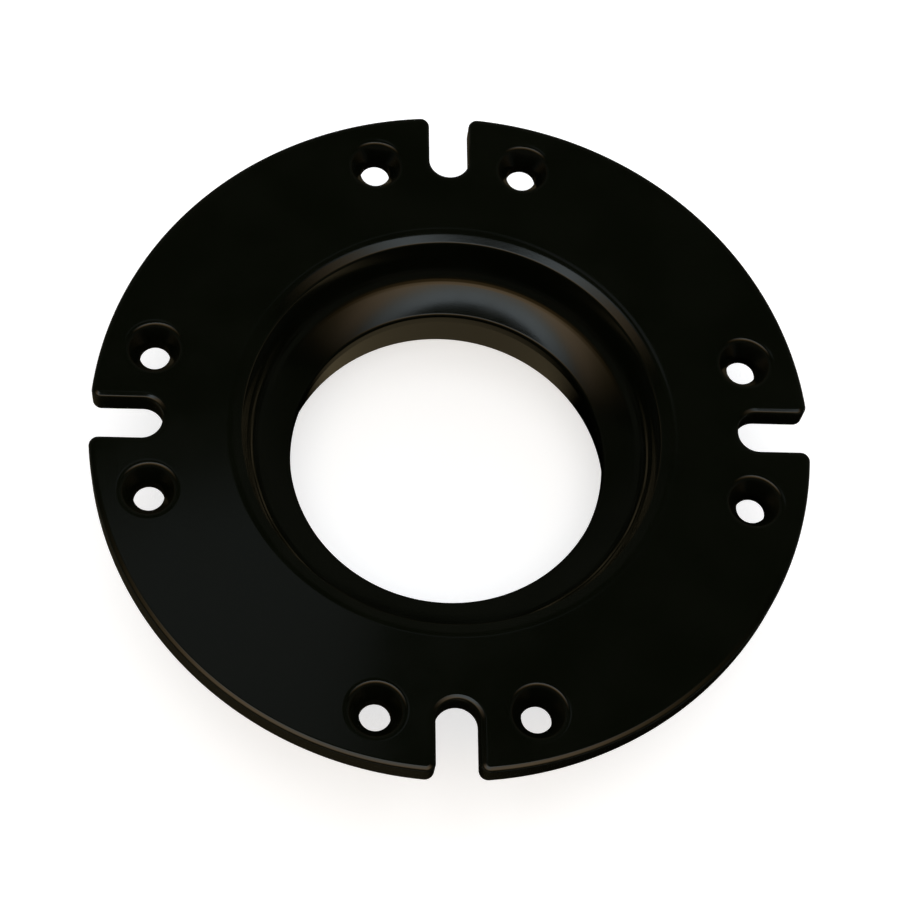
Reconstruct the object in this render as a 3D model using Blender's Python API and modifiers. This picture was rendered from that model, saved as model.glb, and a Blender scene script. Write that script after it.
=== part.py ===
"""A closet flange moulded in one piece: a round plate with bolt slots and screw holes, a funnel and a spigot.

Run it with blender --background --python part.py, or from Blender's text editor. Lengths are in metres, +Z is up,
and the origin is on the axis, at the spigot's lower end. The plate is at the top, face up.
"""

import math

import bmesh
import bpy
from mathutils import Matrix, Vector

# Bolt circle and plate
BOLT_CIRCLE = 0.1524
RIM_BEYOND_BOLTS = 0.0127
PLATE_THICKNESS = 0.0080
EDGE_ROUNDING = 0.0018

# Bolt slots, open at the rim. A mouth's corner is rounder than the edge by MOUTH_EXTRA, so the edge can turn it
SLOT_COUNT = 4
SLOT_WIDTH = 0.0103
MOUTH_EXTRA = 0.0005

# Screw holes on the bolt circle, one on each side of a slot, countersunk down to a straight land
SCREW_FROM_SLOT = 0.01905
SCREW_HOLE = 0.0075
SCREW_LAND = 0.0033
COUNTERSINK = 0.0134

# Funnel: a steep wall under a rounded lip, then a shelf that slopes to the throat and is a little hollow
WALL_RUN = 0.0017
WALL_DROP = 0.0122
SHELF_RUN = 0.0100
SHELF_DROP = 0.0062
SHELF_HOLLOW = 0.0002
LIP_ROUNDING = 0.0040
WALL_FOOT_ROUNDING = 0.0080
SHELF_EDGE_ROUNDING = 0.0010
FUNNEL_WALL = 0.0045
UNDERSIDE_FILLET = 0.0030

# Throat, which narrows a little and ends in the ledge that a pipe stops against
THROAT_BORE = 0.0791
THROAT_TAPER = 0.00075
THROAT_LENGTH = 0.0034
STOP_LEDGE = 0.0018
STOP_SLOPE = 0.0006

# Spigot, with the pipe socket inside it
SOCKET_DEPTH = 0.0136
SOCKET_DRAFT = 0.00065
SPIGOT_WALL = 0.0045
SPIGOT_CHAMFER = 0.0010

# How finely round stretches are divided
TURN_STEPS = 80
ARC_STEP = math.radians(18)
RIM_STEP = math.radians(4)
SLOT_END_STEP = math.radians(18)
SCREW_STEPS = 24
EDGE_SEGMENTS = 2
SHARP_FROM = math.radians(30)

# A cut or a joined piece runs past the surface that it crosses by OVERRUN. A surface that would lie in the
# plate's own face is LIFT clear of it, and runs on for ROUNDING_REACH times the rounding at its corner. Points
# closer than MERGE are one
OVERRUN = 0.0020
LIFT = 0.00005
ROUNDING_REACH = 2
MERGE = 0.00001

# Heights and radii that follow from the sizes above
SOCKET_TOP = SOCKET_DEPTH
THROAT_END = SOCKET_TOP + STOP_SLOPE
SHELF_END = THROAT_END + THROAT_LENGTH
WALL_FOOT = SHELF_END + SHELF_DROP
TOP = WALL_FOOT + WALL_DROP
UNDERSIDE = TOP - PLATE_THICKNESS
BOLT_RADIUS = BOLT_CIRCLE / 2
PLATE_RADIUS = BOLT_RADIUS + RIM_BEYOND_BOLTS
MOUTH_ROUNDING = EDGE_ROUNDING + MOUTH_EXTRA
THROAT_RADIUS = THROAT_BORE / 2
SHELF_END_RADIUS = THROAT_RADIUS + THROAT_TAPER
WALL_FOOT_RADIUS = SHELF_END_RADIUS + SHELF_RUN
LIP_RADIUS = WALL_FOOT_RADIUS + WALL_RUN
SOCKET_RADIUS = THROAT_RADIUS + STOP_LEDGE
SOCKET_MOUTH_RADIUS = SOCKET_RADIUS + SOCKET_DRAFT
SPIGOT_RADIUS = SOCKET_MOUTH_RADIUS + SPIGOT_WALL


def arc(centre, radius, start, stop, step):
    """Points along an arc between two angles, both ends included."""
    count = max(2, round(abs(stop - start) / step))
    angles = [start + (stop - start) * i / count for i in range(count + 1)]
    return [(centre[0] + radius * math.cos(a), centre[1] + radius * math.sin(a)) for a in angles]


def rounded(corners, step=ARC_STEP):
    """The line through (x, y, rounding) corners, with an arc at each corner whose rounding isn't 0.

    An arc that would run past half of the shorter side next to it is made smaller to fit.
    """
    points = []
    for i, (x, y, rounding) in enumerate(corners):
        if not rounding:
            points.append((x, y))
            continue
        corner = Vector((x, y))
        back = Vector(corners[i - 1][:2]) - corner
        ahead = Vector(corners[i + 1][:2]) - corner
        half = back.angle(ahead) / 2
        run = min(rounding / math.tan(half), back.length / 2, ahead.length / 2)
        radius = run * math.tan(half)
        middle = (back.normalized() + ahead.normalized()).normalized()
        centre = corner + middle * radius / math.sin(half)
        first = corner + back.normalized() * run - centre
        last = corner + ahead.normalized() * run - centre
        start = math.atan2(first.y, first.x)
        turn = (math.atan2(last.y, last.x) - start + math.pi) % math.tau - math.pi
        points += arc(centre, radius, start, start + turn, step)
    return points


def beside(first, second, distance):
    """The line through two points of a profile moved sideways, towards the outside of the turned wall."""
    along = (Vector(second) - Vector(first)).normalized()
    shift = Vector((-along.y, along.x)) * distance
    return Vector(first) + shift, Vector(second) + shift


def meeting(line, other):
    """The point where two lines, each given by two points, cross."""
    start, end = line
    way = end - start
    other_way = other[1] - other[0]
    share = (other[0] - start).cross(other_way) / way.cross(other_way)
    return start + way * share


def plate_outline():
    """The plate's rim seen from above, anticlockwise, running into each bolt slot and out again."""
    half = SLOT_WIDTH / 2
    side = half + MOUTH_ROUNDING
    mouth = math.sqrt((PLATE_RADIUS - MOUTH_ROUNDING) ** 2 - side**2)
    rim_angle = math.atan2(side, mouth)
    turn = math.tau / SLOT_COUNT
    slot = arc((mouth, -side), MOUTH_ROUNDING, -rim_angle, math.pi / 2, SLOT_END_STEP)
    slot += arc((BOLT_RADIUS, 0), half, -math.pi / 2, -math.pi * 3 / 2, SLOT_END_STEP)
    slot += arc((mouth, side), MOUTH_ROUNDING, -math.pi / 2, rim_angle, SLOT_END_STEP)
    rim = arc((0, 0), PLATE_RADIUS, rim_angle, turn - rim_angle, RIM_STEP)
    points = []
    for number in range(SLOT_COUNT):
        turned_by = Matrix.Rotation(turn * number, 2)
        points += [tuple(turned_by @ Vector(point)) for point in slot + rim[1:-1]]
    return points


def hollow_profile():
    """All that is open above and through the part, down its outer side: the funnel, the throat and the socket."""
    draft_below = SOCKET_DRAFT / SOCKET_DEPTH * OVERRUN
    face_reach = LIP_RADIUS + ROUNDING_REACH * LIP_ROUNDING
    shelf = beside((WALL_FOOT_RADIUS, WALL_FOOT), (SHELF_END_RADIUS, SHELF_END), SHELF_HOLLOW)
    shelf_middle = (shelf[0] + shelf[1]) / 2
    corners = [
        (0, TOP + OVERRUN, 0),
        (face_reach, TOP + OVERRUN, 0),
        (face_reach, TOP + LIFT, 0),
        (LIP_RADIUS, TOP + LIFT, LIP_ROUNDING),
        (WALL_FOOT_RADIUS, WALL_FOOT, WALL_FOOT_ROUNDING),
        (*shelf_middle, 0),
        (SHELF_END_RADIUS, SHELF_END, SHELF_EDGE_ROUNDING),
        (THROAT_RADIUS, THROAT_END, 0),
        (SOCKET_RADIUS, SOCKET_TOP, 0),
        (SOCKET_MOUTH_RADIUS + draft_below, -OVERRUN, 0),
        (0, -OVERRUN, 0),
    ]
    return rounded(corners)


def hub_profile():
    """The funnel's outside and the spigot as one solid, down its outer side, before it is hollowed."""
    foot = (WALL_FOOT_RADIUS, WALL_FOOT)
    wall = beside((LIP_RADIUS, TOP), foot, FUNNEL_WALL)
    shelf = beside(foot, (SHELF_END_RADIUS, SHELF_END), FUNNEL_WALL)
    buried = UNDERSIDE + LIFT
    root = meeting(wall, (Vector((0, buried)), Vector((1, buried))))
    knee = meeting(wall, shelf)
    neck = meeting(shelf, (Vector((SPIGOT_RADIUS, 0)), Vector((SPIGOT_RADIUS, 1))))
    root_reach = root.x + ROUNDING_REACH * UNDERSIDE_FILLET
    corners = [
        (0, UNDERSIDE + OVERRUN, 0),
        (root_reach, UNDERSIDE + OVERRUN, 0),
        (root_reach, buried, 0),
        (*root, UNDERSIDE_FILLET),
        (*knee, WALL_FOOT_ROUNDING),
        (*neck, WALL_FOOT_ROUNDING),
        (SPIGOT_RADIUS, SPIGOT_CHAMFER, 0),
        (SPIGOT_RADIUS - SPIGOT_CHAMFER, 0, 0),
        (0, 0, 0),
    ]
    return rounded(corners)


def screw_profile():
    """A countersunk screw hole whose mouth is at height 0, down its outer side."""
    depth = PLATE_THICKNESS - SCREW_LAND
    widening = (COUNTERSINK - SCREW_HOLE) / 2 / depth
    return [
        (0, OVERRUN),
        (COUNTERSINK / 2 + widening * OVERRUN, OVERRUN),
        (SCREW_HOLE / 2, -depth),
        (SCREW_HOLE / 2, -PLATE_THICKNESS - OVERRUN),
        (0, -PLATE_THICKNESS - OVERRUN),
    ]


def turned(name, profile, steps, collection):
    """An object whose profile of (radius, height) points is turned about its own Z axis."""
    mesh = bpy.data.meshes.new(name)
    edges = [(i, i + 1) for i in range(len(profile) - 1)]
    mesh.from_pydata([(radius, 0, height) for radius, height in profile], edges, [])
    obj = bpy.data.objects.new(name, mesh)
    collection.objects.link(obj)
    screw = obj.modifiers.new("Turn", "SCREW")
    screw.steps = steps
    screw.render_steps = steps
    screw.use_merge_vertices = True
    screw.merge_threshold = MERGE
    return obj


def as_helper(obj):
    """Marks an object that only cuts or joins another."""
    obj.hide_render = True
    obj.display_type = "WIRE"
    return obj


def boolean(target, operation, helper):
    """Cuts a helper, or a collection of them, from the target, or joins it to the target."""
    modifier = target.modifiers.new(f"{operation.title()} {helper.name}", "BOOLEAN")
    modifier.operation = operation
    modifier.solver = "EXACT"
    if isinstance(helper, bpy.types.Collection):
        modifier.operand_type = "COLLECTION"
        modifier.collection = helper
    else:
        modifier.object = helper


def evaluated_mesh(obj, name):
    """A mesh of its own with what the object's modifiers or bevel make."""
    bpy.context.view_layer.update()
    graph = bpy.context.evaluated_depsgraph_get()
    mesh = bpy.data.meshes.new_from_object(obj.evaluated_get(graph))
    mesh.name = name
    return mesh


def make_plate(collection):
    """The plate without its funnel: the outline as a flat filled curve, extruded, with its edges rounded."""
    curve = bpy.data.curves.new("plate_outline", "CURVE")
    curve.dimensions = "2D"
    curve.fill_mode = "BOTH"
    curve.extrude = PLATE_THICKNESS / 2 - EDGE_ROUNDING
    curve.bevel_depth = EDGE_ROUNDING
    curve.bevel_resolution = EDGE_SEGMENTS
    curve.offset = -EDGE_ROUNDING
    outline = plate_outline()
    spline = curve.splines.new("POLY")
    spline.points.add(len(outline) - 1)
    for point, (x, y) in zip(spline.points, outline):
        point.co = (x, y, 0, 1)
    spline.use_cyclic_u = True
    guide = bpy.data.objects.new("plate_outline", curve)
    collection.objects.link(guide)
    mesh = evaluated_mesh(guide, "closet_flange")
    bpy.data.objects.remove(guide)
    shape = bmesh.new()
    shape.from_mesh(mesh)
    bmesh.ops.remove_doubles(shape, verts=shape.verts, dist=MERGE)
    bmesh.ops.translate(shape, verts=shape.verts, vec=(0, 0, TOP - PLATE_THICKNESS / 2))
    shape.to_mesh(mesh)
    shape.free()
    plate = bpy.data.objects.new("closet_flange", mesh)
    collection.objects.link(plate)
    return plate


def make_screw_cutters(collection):
    """One cutter for each countersunk hole, two to a slot, on the bolt circle."""
    angle = math.asin(SCREW_FROM_SLOT / BOLT_RADIUS)
    shared = None
    for number in range(SLOT_COUNT):
        for side in (-1, 1):
            cutter = turned(f"screw_hole_{number}_{side}", screw_profile(), SCREW_STEPS, collection)
            shared = shared or cutter.data
            cutter.data = shared
            place = math.tau / SLOT_COUNT * number + side * angle
            cutter.location = (BOLT_RADIUS * math.cos(place), BOLT_RADIUS * math.sin(place), TOP)
            as_helper(cutter)


def black_plastic():
    """Moulded black plastic with a soft gloss."""
    material = bpy.data.materials.new("black_plastic")
    material.use_nodes = True
    shader = material.node_tree.nodes["Principled BSDF"]
    shader.inputs["Base Color"].default_value = (0.012, 0.013, 0.012, 1)
    shader.inputs["Roughness"].default_value = 0.35
    shader.inputs["Metallic"].default_value = 0
    return material


def clear_scene():
    for obj in list(bpy.data.objects):
        bpy.data.objects.remove(obj)


def new_collection(name, parent):
    collection = bpy.data.collections.new(name)
    parent.children.link(collection)
    return collection


def main():
    clear_scene()
    scene_collection = bpy.context.scene.collection
    parts = new_collection("Closet flange", scene_collection)
    helpers = new_collection("Cutters", scene_collection)
    screws = new_collection("Screw holes", helpers)

    flange = make_plate(parts)
    hub = as_helper(turned("funnel_and_spigot", hub_profile(), TURN_STEPS, helpers))
    hollow = as_helper(turned("hollow", hollow_profile(), TURN_STEPS, helpers))
    make_screw_cutters(screws)
    boolean(flange, "UNION", hub)
    boolean(flange, "DIFFERENCE", hollow)
    boolean(flange, "DIFFERENCE", screws)

    finished = evaluated_mesh(flange, "closet_flange")
    flange.modifiers.clear()
    flange.data = finished
    finished.shade_smooth()
    finished.set_sharp_from_angle(angle=SHARP_FROM)
    finished.materials.clear()
    finished.materials.append(black_plastic())


main()
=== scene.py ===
import math
from collections import namedtuple

import bmesh
import bpy
import numpy as np
from bpy.props import FloatProperty, FloatVectorProperty, IntProperty, PointerProperty
from mathutils import Matrix, Vector
from mathutils.geometry import delaunay_2d_cdt


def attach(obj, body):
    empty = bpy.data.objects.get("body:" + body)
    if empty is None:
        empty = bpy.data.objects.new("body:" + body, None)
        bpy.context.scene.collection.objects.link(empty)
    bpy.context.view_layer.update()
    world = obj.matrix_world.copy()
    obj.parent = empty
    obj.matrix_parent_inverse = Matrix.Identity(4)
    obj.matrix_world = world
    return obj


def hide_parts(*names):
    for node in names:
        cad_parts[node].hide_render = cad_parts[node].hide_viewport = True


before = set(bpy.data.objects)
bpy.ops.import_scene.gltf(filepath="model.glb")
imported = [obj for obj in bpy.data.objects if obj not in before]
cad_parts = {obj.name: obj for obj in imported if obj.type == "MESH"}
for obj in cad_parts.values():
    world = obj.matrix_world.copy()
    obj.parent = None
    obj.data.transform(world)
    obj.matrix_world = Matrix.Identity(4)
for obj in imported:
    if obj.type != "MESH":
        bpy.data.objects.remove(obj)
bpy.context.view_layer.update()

bl_info = {
    "name": "Closet flange",
    "version": (1, 0, 0),
    "blender": (4, 5, 0),
    "location": "3D View > Sidebar > Flange",
    "description": "Makes a closet flange moulded in black plastic, and a stage to see it on",
    "category": "Add Mesh",
}

NODE = "closet_flange"

# One eighth of the flange, from the middle of a slot to the middle of the rim between two slots
EIGHTH = math.pi / 4
SLOT_COUNT = 4

# Points closer than MERGE are one point. A straight stretch has a point SUPPORT from each end, which keeps
# it straight when it is shaded smooth
MERGE = 2e-6
SUPPORT = 0.00015

# A corner's arc is divided into steps of an angle, which is coarser for roundings up to SMALL_ROUNDING
FINE_STEP = math.radians(5)
SMALL_STEP = math.radians(18)
SMALL_ROUNDING = 0.0008
SHELF_STEPS = 24

# How far a profile's first and last corners lie beyond what is kept of it
BEYOND = 0.02

# How finely the stage's panels and round pieces are divided
PANEL_STEPS = 16
DISC_STEPS = 96

# What mathutils calls a triangulation that stays inside the given loops
INSIDE = 1

# The sockets of a Mix node that mixes colours
MIX_FIRST = 6
MIX_SECOND = 7
MIX_RESULT = 2

# The plastic's index of refraction, and the part of the noise's range over which its patches change
PLASTIC_IOR = 1.5
PATCH_RANGE = (0.35, 0.65)

# The camera's film in millimetres, and the nearest distance that it sees
FILM_WIDTH = 36
NEAREST = 0.01


def size(default, name, description):
    """A length in metres that a user may change."""
    return FloatProperty(
        name=name, description=description, default=default, min=0, precision=5, unit="LENGTH"
    )


def share(default, name, description):
    """A number from 0 to 1 that a user may change."""
    return FloatProperty(name=name, description=description, default=default, min=0, max=1, precision=4)


def colour(default, name, description):
    """A colour, in linear light, that a user may change."""
    return FloatVectorProperty(
        name=name, description=description, default=default, size=3, min=0, subtype="COLOR"
    )


def turn(degrees, name, description):
    """An angle that a user may change. Its default is given in degrees."""
    return FloatProperty(name=name, description=description, default=math.radians(degrees), subtype="ANGLE")


def offset(default, name, description):
    """A length to either side that a user may change."""
    return FloatProperty(name=name, description=description, default=default, precision=5, unit="LENGTH")


def number(default, name, description):
    """A plain number that a user may change."""
    return FloatProperty(name=name, description=description, default=default, min=0)


def steps_of(default, least, name, description):
    """A number of steps that a user may change."""
    return IntProperty(name=name, description=description, default=default, min=least)


class FlangeSizes(bpy.types.PropertyGroup):
    """The sizes of the flange. Most are the solid's. Some edges differ, by under half a millimetre."""

    bolt_circle: size(0.1524, "Bolt circle", "Diameter of the circle of the slots' ends and screw holes")
    rim_beyond_bolts: size(0.0127, "Rim beyond bolts", "From the bolt circle to the rim")
    plate_thickness: size(0.0080, "Plate thickness", "Thickness of the plate")
    edge_rounding: size(0.0018, "Edge rounding", "Rounding of the plate's lower edge")
    edge_flat: size(0.0014, "Edge flat", "Width of the flatter stretch in the plate's upper edge")
    edge_slope: turn(23, "Edge slope", "How steep that flatter stretch is")
    edge_turn: size(0.0010, "Edge turn", "Rounding at either side of the flatter stretch")
    slot_width: size(0.0103, "Slot width", "Width of an open bolt slot")
    mouth_extra: size(0.0005, "Mouth extra", "How much rounder a slot's mouth is than the edge")
    screw_from_slot: size(0.01905, "Screw from slot", "From a slot's middle to the screw holes beside it")
    screw_hole: size(0.0075, "Screw hole", "Diameter of a screw hole")
    screw_land: size(0.0033, "Screw land", "Straight depth below a countersink")
    countersink: size(0.0134, "Countersink", "Diameter of a countersink at the plate's face")
    countersink_edge: size(0.0020, "Countersink edge", "Rounding of a countersink's mouth")
    wall_run: size(0.0017, "Wall run", "How far the funnel's wall runs inwards")
    wall_drop: size(0.0122, "Wall drop", "How far the funnel's wall drops")
    shelf_run: size(0.01055, "Shelf run", "How far the funnel's shelf runs inwards")
    shelf_drop: size(0.0062, "Shelf drop", "How far the funnel's shelf drops")
    shelf_hollow: size(0.0003, "Shelf hollow", "How far the middle of the funnel's shelf is hollowed")
    lip_bevel: size(0.0030, "Lip bevel", "Width of the bevel from the plate's face to the funnel's wall")
    lip_slope: turn(29.5, "Lip slope", "How steep the lip's bevel is")
    lip_rounding: size(0.0040, "Lip rounding", "Rounding between the plate's face and the lip's bevel")
    lip_edge: size(0.0009, "Lip edge", "Rounding between the lip's bevel and the funnel's wall")
    foot_rounding: size(0.0080, "Foot rounding", "Rounding between the funnel's wall and its shelf")
    shelf_edge: size(0.0014, "Shelf edge", "Rounding between the shelf and the throat")
    funnel_wall: size(0.0045, "Funnel wall", "Thickness of the funnel's wall")
    underside_fillet: size(0.0030, "Underside fillet", "Rounding between the underside and the funnel")
    throat_bore: size(0.0791, "Throat bore", "Smallest diameter of the throat")
    throat_taper: size(0.0002, "Throat taper", "How much the throat's radius grows towards the shelf")
    throat_length: size(0.0034, "Throat length", "Height of the throat")
    stop_ledge: size(0.0018, "Stop ledge", "Width of the ledge that a pipe stops against")
    stop_slope: size(0.0006, "Stop slope", "How far the stop ledge slopes")
    socket_depth: size(0.0136, "Socket depth", "Depth of the pipe socket")
    socket_draft: size(0.00065, "Socket draft", "How much the socket's radius grows towards its mouth")
    spigot_wall: size(0.0045, "Spigot wall", "Thickness of the spigot's wall")
    spigot_chamfer: size(0.0010, "Spigot chamfer", "Chamfer round the spigot's end")
    broken_edge: size(0.0003, "Broken edge", "Small rounding of the edges that look sharp")


class FlangeSteps(bpy.types.PropertyGroup):
    """How finely one eighth of the flange is divided."""

    turned: steps_of(48, 4, "Turned", "Steps round the funnel and the spigot")
    slot_end: steps_of(16, 2, "Slot end", "Steps round half of a slot's end")
    slot_side: steps_of(6, 1, "Slot side", "Steps along a slot's side")
    mouth: steps_of(10, 2, "Mouth", "Steps round the corner of a slot's mouth")
    rim: steps_of(56, 4, "Rim", "Steps along the rim")
    screw: steps_of(64, 8, "Screw hole", "Steps round a screw hole")
    spoke: steps_of(4, 1, "Spoke", "Steps across the face, from the funnel to a slot")


def unit(vectors):
    """The vectors, each divided by its length."""
    return vectors / np.linalg.norm(vectors, axis=-1, keepdims=True)


def arc(centre, radius, start, stop, count):
    """Points on an arc: the centre plus the radius along directions evenly spread between two angles."""
    angles = np.linspace(start, stop, count + 1)
    return np.asarray(centre) + radius * np.stack([np.cos(angles), np.sin(angles)], 1)


def rounded(corners):
    """The line through (x, y, rounding) corners, with an arc at each corner whose rounding isn't 0.

    At a corner with the half angle h between its sides, the arc of radius r leaves each side r / tan(h)
    from the corner, and its centre lies r / sin(h) along the line that halves the angle. An arc that would
    run past half of the shorter side next to it is made smaller to fit.
    """
    points = []
    for i, (x, y, rounding) in enumerate(corners):
        corner = np.array([x, y])
        if not rounding:
            points.append(corner[None])
            continue
        back = np.subtract(corners[i - 1][:2], corner)
        ahead = np.subtract(corners[i + 1][:2], corner)
        half = math.acos(np.dot(unit(back), unit(ahead))) / 2
        run = min(rounding / math.tan(half), np.linalg.norm(back) / 2, np.linalg.norm(ahead) / 2)
        radius = run * math.tan(half)
        centre = corner + unit(unit(back) + unit(ahead)) * radius / math.sin(half)
        first = corner + unit(back) * run - centre
        last = corner + unit(ahead) * run - centre
        start = math.atan2(first[1], first[0])
        swing = (math.atan2(last[1], last[0]) - start + math.pi) % math.tau - math.pi
        step = FINE_STEP if rounding > SMALL_ROUNDING else SMALL_STEP
        points.append(arc(centre, radius, start, start + swing, max(2, round(abs(swing) / step))))
    return supported(np.concatenate(points))


def supported(line):
    """The line with a point added SUPPORT from each end of every stretch longer than four times SUPPORT."""
    steps = np.diff(line, axis=0)
    lengths = np.linalg.norm(steps, axis=1, keepdims=True)
    near = steps / lengths * SUPPORT
    points = np.stack([line[:-1], line[:-1] + near, line[1:] - near], 1)
    kept = np.ones(points.shape[:2], bool)
    kept[:, 1:] = lengths > 4 * SUPPORT
    return np.concatenate([points[kept], line[-1:]])


def side_line(start, end, distance):
    """The straight line from start to end, moved sideways by a distance, to its right."""
    along = unit(np.subtract(end, start))
    shift = np.array([along[1], -along[0]]) * distance
    return start + shift, end + shift


def hollowed(line, outer, inner, depth):
    """The line with the stretch between two corners a little hollow.

    The longest straight run there is divided into SHELF_STEPS. A point is then lowered by
    depth * (1 - (2t - 1)^2), where t is the part of the way across at which it lies.
    """
    def across(points):
        part = (points[:, 0] - inner[0]) / (outer[0] - inner[0])
        return np.where(points[:, 1] > inner[1], np.clip(part, 0, 1), 0)

    here = across(line)
    lengths = np.linalg.norm(np.diff(line, axis=0), axis=1)
    longest = np.argmax(lengths * (here[1:] > 0) * (here[:-1] < 1) * (here[:-1] > 0))
    run = np.linspace(line[longest], line[longest + 1], SHELF_STEPS + 1)[1:-1]
    line = np.insert(line, longest + 1, run, axis=0)
    line[:, 1] -= depth * (1 - (2 * across(line) - 1) ** 2)
    return line


def crossing(line, other):
    """Where two lines meet, each given by two points: the first point plus part of the way along."""
    way = line[1] - line[0]
    other_way = other[1] - other[0]
    gap = other[0] - line[0]
    part = (gap[0] * other_way[1] - gap[1] * other_way[0]) / (way[0] * other_way[1] - way[1] * other_way[0])
    return line[0] + way * part


class Levels:
    """Heights and radii that follow from the sizes."""

    def __init__(self, s):
        self.throat_end = s.socket_depth + s.stop_slope
        self.shelf_end = self.throat_end + s.throat_length
        self.foot = self.shelf_end + s.shelf_drop
        self.top = self.foot + s.wall_drop
        self.underside = self.top - s.plate_thickness
        self.bolt_radius = s.bolt_circle / 2
        self.rim_radius = self.bolt_radius + s.rim_beyond_bolts
        self.throat_radius = s.throat_bore / 2
        self.shelf_end_radius = self.throat_radius + s.throat_taper
        self.foot_radius = self.shelf_end_radius + s.shelf_run
        self.lip_radius = self.foot_radius + s.wall_run
        self.socket_radius = self.throat_radius + s.stop_ledge
        self.mouth_radius = self.socket_radius + s.socket_draft
        self.spigot_radius = self.mouth_radius + s.spigot_wall


def turned_profile(s, at):
    """The (radius, height) line that turns into the funnel, throat, socket, spigot and the spigot's root.

    It starts where the lip leaves the plate's face, and ends where the root's fillet meets the underside.
    The lip is a bevel, rounded at both ends. The shelf is a little hollow. Outside, the funnel's wall and
    shelf run beside the inner ones, one wall thickness away.
    """
    lip = (at.lip_radius, at.top)
    bevel_drop = s.lip_bevel * math.tan(s.lip_slope)
    bevel_end = (at.lip_radius - bevel_drop * s.wall_run / s.wall_drop, at.top - bevel_drop)
    foot = (at.foot_radius, at.foot)
    shelf_end = (at.shelf_end_radius, at.shelf_end)
    outer_wall = side_line(foot, lip, s.funnel_wall)
    outer_shelf = side_line(shelf_end, foot, s.funnel_wall)
    outer_spigot = (np.array([at.spigot_radius, 0]), np.array([at.spigot_radius, 1]))
    underside = (np.array([0, at.underside]), np.array([1, at.underside]))
    corners = [
        (at.lip_radius + BEYOND, at.top, 0),
        (bevel_end[0] + s.lip_bevel, at.top, s.lip_rounding),
        (*bevel_end, s.lip_edge),
        (*foot, s.foot_rounding),
        (*shelf_end, s.shelf_edge),
        (at.throat_radius, at.throat_end, s.broken_edge),
        (at.socket_radius, s.socket_depth, s.broken_edge),
        (at.mouth_radius, 0, s.broken_edge),
        (at.spigot_radius - s.spigot_chamfer, 0, s.broken_edge),
        (at.spigot_radius, s.spigot_chamfer, s.broken_edge),
        (*crossing(outer_shelf, outer_spigot), s.foot_rounding),
        (*crossing(outer_wall, outer_shelf), s.foot_rounding),
        (*crossing(outer_wall, underside), s.underside_fillet),
        (at.lip_radius + BEYOND, at.underside, 0),
    ]
    return trimmed(hollowed(rounded(corners), foot, shelf_end, s.shelf_hollow))


def edge_profile(s, at):
    """The (inset, height) line of the plate's edge, from its face to its underside, round at both.

    The upper rounding has a flatter stretch, which widens the highlight along the edge.
    """
    corners = [
        (BEYOND, at.top, 0),
        (s.edge_flat, at.top, s.edge_turn),
        (0, at.top - s.edge_flat * math.tan(s.edge_slope), s.edge_turn),
        (0, at.underside, s.edge_rounding),
        (BEYOND, at.underside, 0),
    ]
    return trimmed(rounded(corners))


def screw_profile(s, at):
    """The (radius, height) line of a screw hole: the countersink's mouth, cone, land and lower edge."""
    corners = [
        (BEYOND, at.top, 0),
        (s.countersink / 2, at.top, s.countersink_edge),
        (s.screw_hole / 2, at.underside + s.screw_land, s.broken_edge),
        (s.screw_hole / 2, at.underside, s.broken_edge),
        (BEYOND, at.underside, 0),
    ]
    return trimmed(rounded(corners))


def trimmed(line):
    """A profile with only the last SUPPORT of its straight run in and the first SUPPORT of its run out."""
    return line[2:-2]


def eighth_outline(s, at, steps, inset):
    """One eighth of the plate's outline, moved inwards: a slot's end, side and mouth, then the rim.

    The inset is added to the radius of the slot's end and taken from the radii of the mouth's corner and
    the rim. The corner's centre lies where it touches the slot's side and the rim from inside.
    """
    half = s.slot_width / 2
    corner = s.edge_rounding + s.mouth_extra
    centre_y = half + corner
    centre_x = math.sqrt((at.rim_radius - corner) ** 2 - centre_y**2)
    rim_angle = math.atan2(centre_y, centre_x)
    end = arc((at.bolt_radius, 0), half + inset, math.pi, math.pi / 2, steps.slot_end)
    mouth = arc((centre_x, centre_y), corner - inset, -math.pi / 2, rim_angle, steps.mouth)
    side = np.linspace(end[-1], mouth[0], steps.slot_side + 1)
    rim = arc((0, 0), at.rim_radius - inset, rim_angle, EIGHTH, steps.rim)
    return np.concatenate([end[:-1], side[:-1], mouth[:-1], rim])


def raised(flat, profile):
    """Rows of flat points, each row at the height of its point of the profile."""
    heights = np.broadcast_to(profile[:, None, 1:], (*flat.shape[:2], 1))
    return np.concatenate([flat, heights], 2)


def turned_surface(profile, count):
    """The profile turned through one eighth: a point is the radius along a direction, at the height."""
    around = arc((0, 0), 1, 0, EIGHTH, count)
    return raised(profile[:, None, :1] * around[None], profile)


def edge_surface(profile, outline, inwards):
    """The edge's profile carried along the outline: the outline plus the inset times the way inwards."""
    return raised(outline[None] + profile[:, None, :1] * inwards[None], profile)


def screw_surface(profile, centre, count):
    """The screw hole's profile turned round its centre: the centre plus the radius along a direction."""
    around = arc((0, 0), 1, 0, math.tau, count)
    return raised(centre + profile[:, None, :1] * around[None], profile)


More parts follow.
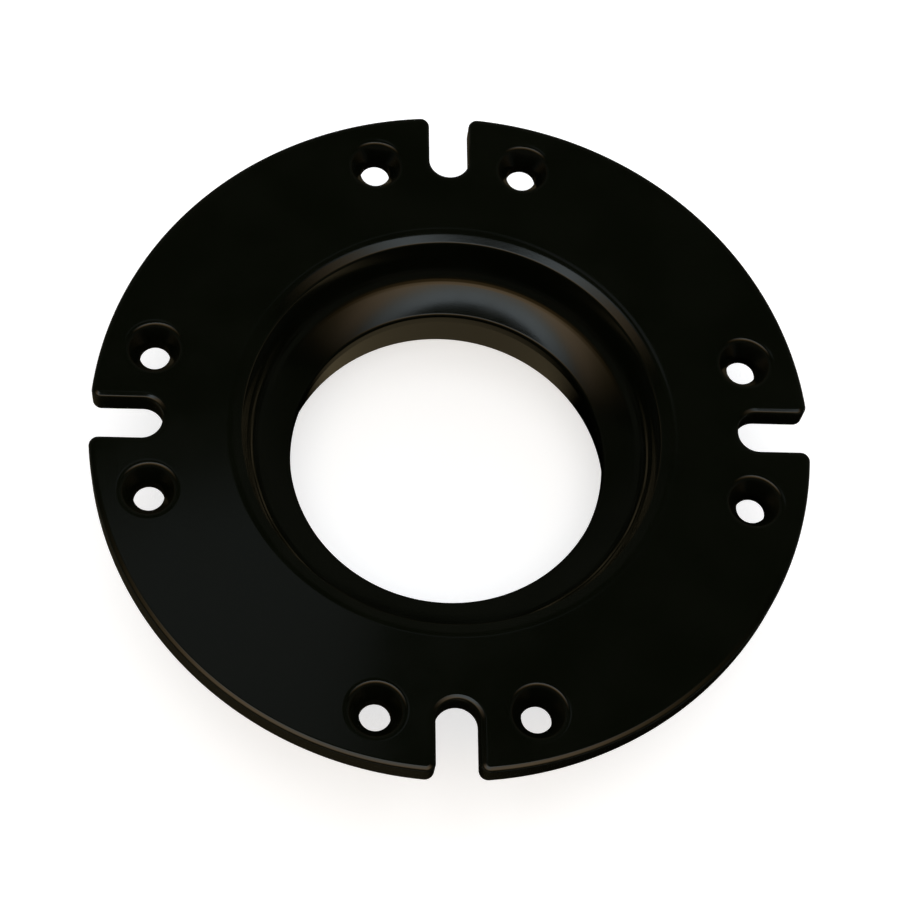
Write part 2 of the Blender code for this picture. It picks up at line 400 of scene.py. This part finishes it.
def face_surface(funnel, outline, screw, count):
    """One eighth of a flat face as points and triangles, between rows of the surfaces round it.

    Its border runs from the funnel out to the slot, along the outline, straight back in and along the
    funnel. The triangles are the constrained Delaunay ones inside that border, without those of the screw
    hole, whose middles lie nearer to its centre than its circle does.
    """
    spoke = np.linspace(funnel[0], outline[0], count + 1)
    far_spoke = np.linspace(outline[-1], funnel[-1], 2 * count + 1)
    border = np.concatenate([spoke[:-1], outline[:-1], far_spoke[:-1], funnel[:0:-1]])
    points = np.concatenate([border, screw[:-1]])
    numbers = np.arange(len(points))
    after = np.where(numbers == len(border) - 1, 0, numbers + 1)
    after[-1] = len(border)
    edges = np.stack([numbers, after], 1).tolist()
    flat = [Vector(point) for point in points[:, :2]]
    made = delaunay_2d_cdt(flat, edges, [], INSIDE, MERGE)
    places, triangles = np.array(made[0]), np.array(made[2])
    centre = screw[:-1, :2].mean(0)
    from_centre = np.linalg.norm(places[triangles].mean(1) - centre, axis=1)
    radius = np.linalg.norm(screw[0, :2] - centre)
    heights = np.full(len(places), points[0, 2])
    return np.column_stack([places, heights]), triangles[from_centre > radius]


def eighth_surfaces(s, steps):
    """The surfaces that make one eighth of the flange, each as its points and the faces between them."""
    at = Levels(s)
    outline = eighth_outline(s, at, steps, 0)
    inwards = (eighth_outline(s, at, steps, s.edge_rounding) - outline) / s.edge_rounding
    screw_angle = math.asin(s.screw_from_slot / at.bolt_radius)
    centre = at.bolt_radius * np.array([math.cos(screw_angle), math.sin(screw_angle)])
    turned = turned_surface(turned_profile(s, at), steps.turned)
    edge = edge_surface(edge_profile(s, at), outline, inwards)
    screw = screw_surface(screw_profile(s, at), centre, steps.screw)
    surfaces = [(grid.reshape(-1, 3), grid_faces(*grid.shape[:2])) for grid in (turned, edge, screw)]
    surfaces += [face_surface(turned[row], edge[row], screw[row], steps.spoke) for row in (0, -1)]
    return surfaces


def all_eighths(points):
    """The points of one eighth, as they are and mirrored in the X axis, each turned by every quarter."""
    quarters = np.arange(SLOT_COUNT) * math.tau / SLOT_COUNT
    cosines, sines = np.cos(quarters), np.sin(quarters)
    turns = np.stack([cosines, -sines, sines, cosines], 1).reshape(-1, 2, 2)
    mirrors = np.array([np.diag([1, 1]), np.diag([1, -1])])
    ways = np.einsum("qij,mjk->qmik", turns, mirrors).reshape(-1, 2, 2)
    flat = np.einsum("wij,pj->wpi", ways, points[:, :2])
    heights = np.broadcast_to(points[:, 2:], (*flat.shape[:-1], 1))
    return np.concatenate([flat, heights], 2)


def grid_faces(rows, columns):
    """The quads of a grid whose points are numbered row by row."""
    corner = np.arange(rows - 1)[:, None] * columns + np.arange(columns - 1)
    return np.stack([corner, corner + 1, corner + columns + 1, corner + columns], 2).reshape(-1, 4)


def closed_mesh(name, surfaces):
    """One closed mesh from the surfaces of an eighth, repeated all round, its faces pointing outwards."""
    points, faces, first = [], [], 0
    for eighth, corners in surfaces:
        for copy in all_eighths(eighth):
            points.append(copy)
            faces += (corners + first).tolist()
            first += len(copy)
    mesh = bpy.data.meshes.new(name)
    mesh.from_pydata(np.concatenate(points), [], faces)
    shape = bmesh.new()
    shape.from_mesh(mesh)
    bmesh.ops.remove_doubles(shape, verts=shape.verts, dist=MERGE)
    bmesh.ops.recalc_face_normals(shape, faces=shape.faces)
    if not all(edge.is_manifold for edge in shape.edges):
        raise RuntimeError(f"the surface of {name} isn't closed")
    if shape.calc_volume(signed=True) < 0:
        bmesh.ops.reverse_faces(shape, faces=shape.faces)
    shape.to_mesh(mesh)
    shape.free()
    mesh.shade_smooth()
    return mesh


class Signal:
    """A number on a node's socket. Sums, differences, products and quotients add their Math nodes."""

    def __init__(self, nodes, socket):
        self.nodes = nodes
        self.socket = socket

    def math(self, operation, first, second):
        return self.nodes.add("ShaderNodeMath", {"operation": operation}, {0: first, 1: second})

    def __add__(self, other):
        return self.math("ADD", self, other)

    def __radd__(self, other):
        return self.math("ADD", other, self)

    def __sub__(self, other):
        return self.math("SUBTRACT", self, other)

    def __rsub__(self, other):
        return self.math("SUBTRACT", other, self)

    def __mul__(self, other):
        return self.math("MULTIPLY", self, other)

    def __rmul__(self, other):
        return self.math("MULTIPLY", other, self)

    def __truediv__(self, other):
        return self.math("DIVIDE", self, other)


class Nodes:
    """Adds nodes to the node tree of one material or world."""

    def __init__(self, tree):
        self.tree = tree
        tree.nodes.clear()

    def add(self, kind, settings=None, sockets=None, output=0):
        """A new node: first its settings are set, then its sockets' values or links. Gives one output."""
        node = self.tree.nodes.new(kind)
        for name, value in (settings or {}).items():
            if name == "stops":
                self.set_stops(node.color_ramp, value)
            else:
                setattr(node, name, value)
        for key, value in (sockets or {}).items():
            if isinstance(value, Signal):
                self.tree.links.new(value.socket, node.inputs[key])
            else:
                node.inputs[key].default_value = value
        return Signal(self, node.outputs[output]) if len(node.outputs) else None

    @staticmethod
    def set_stops(ramp, stops):
        """Puts a ramp's stops, each a position and a grey level or a colour."""
        while len(ramp.elements) < len(stops):
            ramp.elements.new(1)
        for element, (position, value) in zip(ramp.elements, stops):
            element.position = position
            element.color = (*value, 1) if isinstance(value, tuple) else (value, value, value, 1)

    def smooth(self, value, low, high):
        """0 below low, 1 above high, and a soft step between them."""
        sockets = {"Value": value, "From Min": low, "From Max": high}
        return self.add("ShaderNodeMapRange", {"interpolation_type": "SMOOTHSTEP"}, sockets)

    def mix(self, factor, first, second):
        """A blend of two colours."""
        sockets = {"Factor": factor, MIX_FIRST: first, MIX_SECOND: second}
        return self.add("ShaderNodeMix", {"data_type": "RGBA"}, sockets, output=MIX_RESULT)

    def ray(self, kind):
        """1 for a ray of the given kind, and 0 for others."""
        return self.add("ShaderNodeLightPath", output=f"Is {kind} Ray")

    def position(self):
        """The position in the object's own coordinates."""
        return self.add("ShaderNodeTexCoord", output="Object")

    def axis(self, vector, name):
        """One of a vector's numbers: X, Y or Z."""
        return self.add("ShaderNodeSeparateXYZ", None, {0: vector}, output=name)

    def length(self, vector):
        """How long a vector is."""
        return self.add("ShaderNodeVectorMath", {"operation": "LENGTH"}, {0: vector}, output="Value")


def new_material(name):
    """A new material, and what adds its nodes."""
    material = bpy.data.materials.new(name)
    material.use_nodes = True
    return material, Nodes(material.node_tree)


class FlangeFinish(bpy.types.PropertyGroup):
    """The look of the plastic."""

    plastic: colour((0.0013, 0.0017, 0.0007), "Plastic", "Colour of the plastic")
    paler: colour((0.0018, 0.0022, 0.0010), "Paler plastic", "Colour where it looks a little paler")
    gloss: share(0.11, "Roughness of gloss", "Roughness where the mould was polished")
    satin: share(0.15, "Roughness of satin", "Roughness where the mould was duller")
    patch: size(0.018, "Patch", "Size of the patches that differ in gloss")
    grain: size(0.0007, "Grain", "Size of the fine grain that the mould left")
    grain_height: size(0.000003, "Grain height", "Height of the fine grain")
    swell: size(0.020, "Swell", "Size of the soft waves in the face")
    swell_height: size(0.00002, "Swell height", "Height of the soft waves")


def black_plastic(finish):
    """Moulded black plastic: a soft gloss that varies in patches, over fine grain and soft waves."""
    material, nodes = new_material("black_plastic")
    spot = nodes.position()

    def noise(period, detail):
        sockets = {"Vector": spot, "Scale": 1 / period, "Detail": detail}
        return nodes.add("ShaderNodeTexNoise", None, sockets)

    patches = nodes.smooth(noise(finish.patch, 3), *PATCH_RANGE)
    grain = noise(finish.grain, 2)
    swell = noise(finish.swell, 1)
    roughness = finish.gloss + patches * (finish.satin - finish.gloss)
    base = nodes.mix(patches, (*finish.plastic, 1), (*finish.paler, 1))
    swells = {"Strength": 1, "Distance": finish.swell_height, "Height": swell}
    waves = nodes.add("ShaderNodeBump", None, swells)
    bumps = {"Strength": 1, "Distance": finish.grain_height, "Height": grain, "Normal": waves}
    normal = nodes.add("ShaderNodeBump", None, bumps)
    sockets = {"Base Color": base, "Roughness": roughness, "Normal": normal, "IOR": PLASTIC_IOR}
    shader = nodes.add("ShaderNodeBsdfPrincipled", None, sockets)
    nodes.add("ShaderNodeOutputMaterial", None, {"Surface": shader})
    return material


class FLANGE_OT_make_body(bpy.types.Operator):
    """Make the flange: one closed surface in black moulded plastic, in the place of the solid"""

    bl_idname = "flange.make_body"
    bl_label = "Make the flange"

    def execute(self, context):
        sizes = context.scene.flange_sizes
        steps = context.scene.flange_steps
        mesh = closed_mesh("moulded_flange", eighth_surfaces(sizes, steps))
        mesh.materials.append(black_plastic(context.scene.flange_finish))
        body = bpy.data.objects.new("moulded_flange", mesh)
        context.scene.collection.objects.link(body)
        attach(body, "root")
        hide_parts(NODE)
        return {"FINISHED"}


class FlangeStage(bpy.types.PropertyGroup):
    """The camera, the floor and the light."""

    azimuth: turn(-10.815, "Azimuth", "Direction of the camera round the flange, from the front")
    elevation: turn(64.704, "Elevation", "Height of the camera above the horizon")
    roll: turn(11.113, "Roll", "How far the camera leans")
    distance: size(0.5825, "Distance", "From the camera to the middle of the view")
    lens: number(94.68, "Lens", "Focal length in millimetres, on a film 36 mm wide")
    aim_right: offset(-0.00077, "Aim right", "From the axis to the middle of the view, to the right")
    aim_up: offset(-0.00583, "Aim up", "From the axis to the middle of the view, upwards")
    aim_height: size(0.0346, "Aim height", "Height of the point on the axis that the view is measured from")
    floor_radius: size(2.5, "Floor radius", "Radius of the floor")
    floor_colour: colour((0.8, 0.8, 0.8), "Floor colour", "Colour of the floor")
    floor_glow: number(0.55, "Floor glow", "How much the floor glows, so that it looks white")
    backdrop_from: size(0.35, "Backdrop from", "Where the floor starts to turn into the white backdrop")
    backdrop_to: size(1.2, "Backdrop to", "Where it is all backdrop")
    ambient: colour((1.12, 1.15, 1.20), "Ambient", "Soft light from all round, on what doesn't shine")
    overhead: colour((0.014, 0.018, 0.006), "Overhead", "What a shiny surface shows of the dark room above")
    around: colour((0.040, 0.042, 0.032), "Around", "What a shiny surface shows of the room lower down")
    around_to: turn(42, "Around to", "Height above the horizon at which the room is as dark as overhead")
    horizon: turn(0.5, "Horizon", "Height above the horizon at which the room starts to darken")
    panel_distance: size(0.9, "Panel distance", "From the flange to each glowing panel")
    card_radius: size(1.6, "Card radius", "Radius of the warm card that reflections show under the flange")
    card_lift: size(0.0002, "Card lift", "Height of the card above the floor")
    # The card's colour, a painted reflection of a warm dark floor that only reflections show
    painted_reflection_glow: colour((0.22, 0.175, 0.10), "Card glow", "Colour of the card")


Panel = namedtuple("Panel", "name azimuths fades elevations colours")

# Each glowing panel is a piece of a dome over the flange, between two azimuths and two elevations in degrees.
# It fades over so many degrees at either side. Its colours go from its lower edge, at 0, to its upper
# edge, at 1
PANELS = (
    Panel(
        "window",
        (-112, 92),
        (68, 76),
        (32, 64.3),
        (
            (0.00, (0.10, 0.06, 0.02)),
            (0.35, (0.50, 0.31, 0.12)),
            (0.52, (1.15, 0.80, 0.42)),
            (0.65, (1.85, 1.32, 0.80)),
            (0.75, (1.72, 1.28, 0.82)),
            (0.81, (1.25, 1.25, 1.10)),
            (0.87, (1.35, 1.55, 1.62)),
            (1.00, (1.55, 1.78, 1.92)),
        ),
    ),
    Panel(
        "ceiling_patch",
        (173, 235),
        (3, 12),
        (67.4, 82),
        (
            (0.00, (0.16, 0.18, 0.18)),
            (1.00, (0.12, 0.13, 0.13)),
        ),
    ),
    Panel(
        "front_patch",
        (155, 173),
        (8, 2),
        (66.5, 71),
        (
            (0.00, (0.02, 0.02, 0.02)),
            (0.35, (0.19, 0.22, 0.22)),
            (0.65, (0.19, 0.22, 0.22)),
            (1.00, (0.02, 0.02, 0.02)),
        ),
    ),
)

# How bright the card is at some distances from the axis, as a multiple of its glow. This is painted shade in
# the middle of the bore and under the plate, and a painted ring of light inside the bore near its wall
CARD_PAINTED_LIGHT_AND_SHADE = (
    (0.023, 0.02),
    (0.027, 2.00),
    (0.031, 1.20),
    (0.037, 1.00),
    (0.042, 1.00),
    (0.045, 0.03),
    (0.088, 0.03),
    (0.115, 0.36),
    (0.160, 0.36),
    (0.280, 0.80),
)

# Inside the bore the card's painted light is only at the back, from nothing to full between the first two
# distances behind the axis. That limit ends between the second two distances from the axis
BORE_PAINTED_LIGHT_FROM = (0.022, 0.032)
BORE_PAINTED_LIGHT_ENDS = (0.045, 0.060)

# Outside the bore the card's painted reflection dims, as painted shade, from left to right between these
# distances from the axis, down to the share on the next line
RIGHT_PAINTED_SHADE = (-0.020, 0.040)
RIGHT_PAINTED_SHADE_SHARE = 0.10


def toward(azimuth, elevation):
    """The direction from the flange to an azimuth, counted from the front, and an elevation."""
    across = math.cos(elevation)
    return Vector((math.sin(azimuth) * across, -math.cos(azimuth) * across, math.sin(elevation)))


def make_camera(stage):
    """A camera that looks along its azimuth and elevation, a little beside the flange's axis, and leans."""
    back = toward(stage.azimuth, stage.elevation)
    level = Vector((math.cos(stage.azimuth), math.sin(stage.azimuth), 0))
    upright = back.cross(level)
    right = level * math.cos(stage.roll) + upright * math.sin(stage.roll)
    up = upright * math.cos(stage.roll) - level * math.sin(stage.roll)
    aim = Vector((0, 0, stage.aim_height)) + right * stage.aim_right + up * stage.aim_up
    data = bpy.data.cameras.new("camera")
    data.sensor_width = FILM_WIDTH
    data.lens = stage.lens
    data.clip_start = NEAREST
    camera = bpy.data.objects.new("camera", data)
    turned = Matrix((right, up, back)).transposed().to_4x4()
    camera.matrix_world = Matrix.Translation(aim + back * stage.distance) @ turned
    bpy.context.scene.collection.objects.link(camera)
    bpy.context.scene.camera = camera


def seen_rays(nodes):
    """1 for a ray that shows a background: the camera's own, or one sent on by a shiny or clear surface."""
    seen = nodes.ray("Camera")
    for kind in ("Glossy", "Transmission"):
        seen = seen.math("MAXIMUM", seen, nodes.ray(kind))
    return seen


def floor_material(stage):
    """A pale floor that keeps the shadow near the flange and turns into a white backdrop away from it.

    From below it is clear, so that the flange can be seen from there.
    """
    material, nodes = new_material("floor")
    away = nodes.length(nodes.position())
    backdrop = nodes.smooth(away, stage.backdrop_from, stage.backdrop_to)
    seen = seen_rays(nodes)
    lit = nodes.add("ShaderNodeBsdfDiffuse", None, {"Color": (*stage.floor_colour, 1)})
    glow = nodes.add("ShaderNodeEmission", None, {"Strength": seen * stage.floor_glow})
    white = nodes.add("ShaderNodeEmission", None, {"Strength": 1})
    near = nodes.add("ShaderNodeAddShader", None, {0: lit, 1: glow})
    floor = nodes.add("ShaderNodeMixShader", None, {0: seen * backdrop, 1: near, 2: white})
    below = nodes.add("ShaderNodeNewGeometry", output="Backfacing")
    clear = nodes.add("ShaderNodeBsdfTransparent")
    either = nodes.add("ShaderNodeMixShader", None, {0: below, 1: floor, 2: clear})
    nodes.add("ShaderNodeOutputMaterial", None, {"Surface": either})
    return material


def disc(name, radius, height):
    """A flat disc: a point is the radius along a direction, at the height."""
    edge = arc((0, 0), radius, 0, math.tau, DISC_STEPS)[:-1]
    mesh = bpy.data.meshes.new(name)
    mesh.from_pydata(np.column_stack([edge, np.full(DISC_STEPS, height)]), [], [list(range(DISC_STEPS))])
    return mesh


def add_stage_piece(name, mesh, material):
    """An object of the stage, which isn't part of the flange."""
    mesh.materials.append(material)
    piece = bpy.data.objects.new(name, mesh)
    bpy.context.scene.collection.objects.link(piece)
    return piece


def make_world(stage):
    """The room: white where the camera sees it, and a plain soft light on what doesn't shine.

    What shines shows the white backdrop at the horizon and a dark room above it, as black plastic needs.
    """
    world = bpy.data.worlds.new("room")
    bpy.context.scene.world = world
    world.use_nodes = True
    nodes = Nodes(world.node_tree)
    way = nodes.add("ShaderNodeTexCoord", output="Generated")
    height = nodes.axis(way, "Z")
    above = nodes.smooth(height, math.sin(stage.horizon), math.sin(3 * stage.horizon))
    higher = nodes.smooth(height, math.sin(stage.around_to / 2), math.sin(stage.around_to))
    walls = nodes.mix(higher, (*stage.around, 1), (*stage.overhead, 1))
    room = nodes.mix(above, (1, 1, 1, 1), walls)
    shown = nodes.mix(seen_rays(nodes), (*stage.ambient, 1), room)
    room_light = nodes.mix(nodes.ray("Camera"), shown, (1, 1, 1, 1))
    light = nodes.add("ShaderNodeBackground", None, {"Color": room_light, "Strength": 1})
    nodes.add("ShaderNodeOutputWorld", None, {"Surface": light})


def make_panel(panel, distance):
    """A glowing panel on a dome: a point is the distance along an azimuth and an elevation.

    Its glow depends on the angle round from the panel's middle, and on the elevation.
    """
    azimuths = np.radians(np.linspace(*panel.azimuths, PANEL_STEPS + 1))[None]
    elevations = np.radians(np.linspace(*panel.elevations, PANEL_STEPS + 1))[:, None]
    across = np.cos(elevations)
    ways = np.sin(azimuths) * across, -np.cos(azimuths) * across, np.sin(elevations) + 0 * azimuths
    points = distance * np.stack(ways, 2).reshape(-1, 3)
    mesh = bpy.data.meshes.new(panel.name)
    mesh.from_pydata(points, [], grid_faces(PANEL_STEPS + 1, PANEL_STEPS + 1).tolist())
    middle = math.radians(sum(panel.azimuths) / 2)
    half = math.radians(panel.azimuths[1] - panel.azimuths[0]) / 2
    fades = np.radians(panel.fades)
    material, nodes = new_material(panel.name)
    spot = nodes.position()
    right, back, up = (nodes.axis(spot, name) for name in "XYZ")
    sideways = right * math.cos(middle) + back * math.sin(middle)
    outwards = right * math.sin(middle) - back * math.cos(middle)
    around = right.math("ARCTAN2", sideways, outwards)
    shares = [nodes.smooth(way * around, -half, fade - half) for way, fade in zip((1, -1), fades)]
    height = right.math("ARCSINE", up / distance, 0)
    low, high = np.radians(panel.elevations)
    shade = nodes.add("ShaderNodeValToRGB", {"stops": panel.colours}, {0: (height - low) / (high - low)})
    glow = nodes.add("ShaderNodeEmission", None, {"Color": shade, "Strength": shares[0] * shares[1]})
    nodes.add("ShaderNodeOutputMaterial", None, {"Surface": glow})
    add_stage_piece(panel.name, mesh, material).visible_camera = False


def make_painted_reflection_card(stage):
    """A warm dark glowing card under the flange that only reflections show: a painted reflection of a dark
    floor, so that the flange's black walls stay dark.

    It has painted shade in the middle of the bore and under the plate, as a floor in the flange's shade has,
    and a painted pool of light at the back of the bore. It is also dimmer to the right, as painted shade.
    """
    material, nodes = new_material("card")
    spot = nodes.position()
    away = nodes.length(spot)
    farthest = CARD_PAINTED_LIGHT_AND_SHADE[-1][0]
    stops = [(radius / farthest, brightness) for radius, brightness in CARD_PAINTED_LIGHT_AND_SHADE]
    shade = nodes.add("ShaderNodeValToRGB", {"stops": stops}, {0: away / farthest})
    outside = nodes.smooth(away, *BORE_PAINTED_LIGHT_ENDS)
    behind = nodes.smooth(nodes.axis(spot, "Y"), *BORE_PAINTED_LIGHT_FROM)
    painted_right_shade = 1 - nodes.smooth(nodes.axis(spot, "X"), *RIGHT_PAINTED_SHADE) * (1 - RIGHT_PAINTED_SHADE_SHARE)
    # The card's painted light and shade: painted shade under the plate and mid-bore, painted light at the
    # bore's back
    lit = shade * shade.math("MAXIMUM", outside * painted_right_shade, behind)
    glow = nodes.add("ShaderNodeEmission", None, {"Color": (*stage.painted_reflection_glow, 1), "Strength": lit})
    nodes.add("ShaderNodeOutputMaterial", None, {"Surface": glow})
    card = add_stage_piece("card", disc("card", stage.card_radius, stage.card_lift), material)
    card.visible_camera = False
    card.visible_diffuse = False
    card.visible_transmission = False
    card.visible_shadow = False


class FLANGE_OT_make_stage(bpy.types.Operator):
    """Make the stage: a pale floor, a room with glowing panels, and the camera"""

    bl_idname = "flange.make_stage"
    bl_label = "Make the stage"

    def execute(self, context):
        stage = context.scene.flange_stage
        context.scene.view_settings.view_transform = "Standard"
        make_camera(stage)
        add_stage_piece("floor", disc("floor", stage.floor_radius, 0), floor_material(stage))
        make_world(stage)
        make_painted_reflection_card(stage)
        for panel in PANELS:
            make_panel(panel, stage.panel_distance)
        return {"FINISHED"}


class FLANGE_PT_panel(bpy.types.Panel):
    """Lists the steps that make the flange and its stage"""

    bl_idname = "FLANGE_PT_panel"
    bl_label = "Closet flange"
    bl_space_type = "VIEW_3D"
    bl_region_type = "UI"
    bl_category = "Flange"

    def draw(self, context):
        for operator in (FLANGE_OT_make_body, FLANGE_OT_make_stage):
            self.layout.operator(operator.bl_idname)
        for name in ("flange_sizes", "flange_finish", "flange_stage"):
            group = getattr(context.scene, name)
            box = self.layout.box()
            for field in group.bl_rna.properties:
                if field.identifier not in ("rna_type", "name"):
                    box.prop(group, field.identifier)


CLASSES = (
    FlangeSizes,
    FlangeSteps,
    FlangeFinish,
    FlangeStage,
    FLANGE_OT_make_body,
    FLANGE_OT_make_stage,
    FLANGE_PT_panel,
)
GROUPS = {
    "flange_sizes": FlangeSizes,
    "flange_steps": FlangeSteps,
    "flange_finish": FlangeFinish,
    "flange_stage": FlangeStage,
}


def register():
    for item in CLASSES:
        bpy.utils.register_class(item)
    for name, group in GROUPS.items():
        setattr(bpy.types.Scene, name, PointerProperty(type=group))


def unregister():
    for name in GROUPS:
        delattr(bpy.types.Scene, name)
    for item in reversed(CLASSES):
        bpy.utils.unregister_class(item)


def main():
    """Makes everything in order."""
    register()
    bpy.ops.flange.make_body()
    bpy.ops.flange.make_stage()


if __name__ == "__main__":
    main()
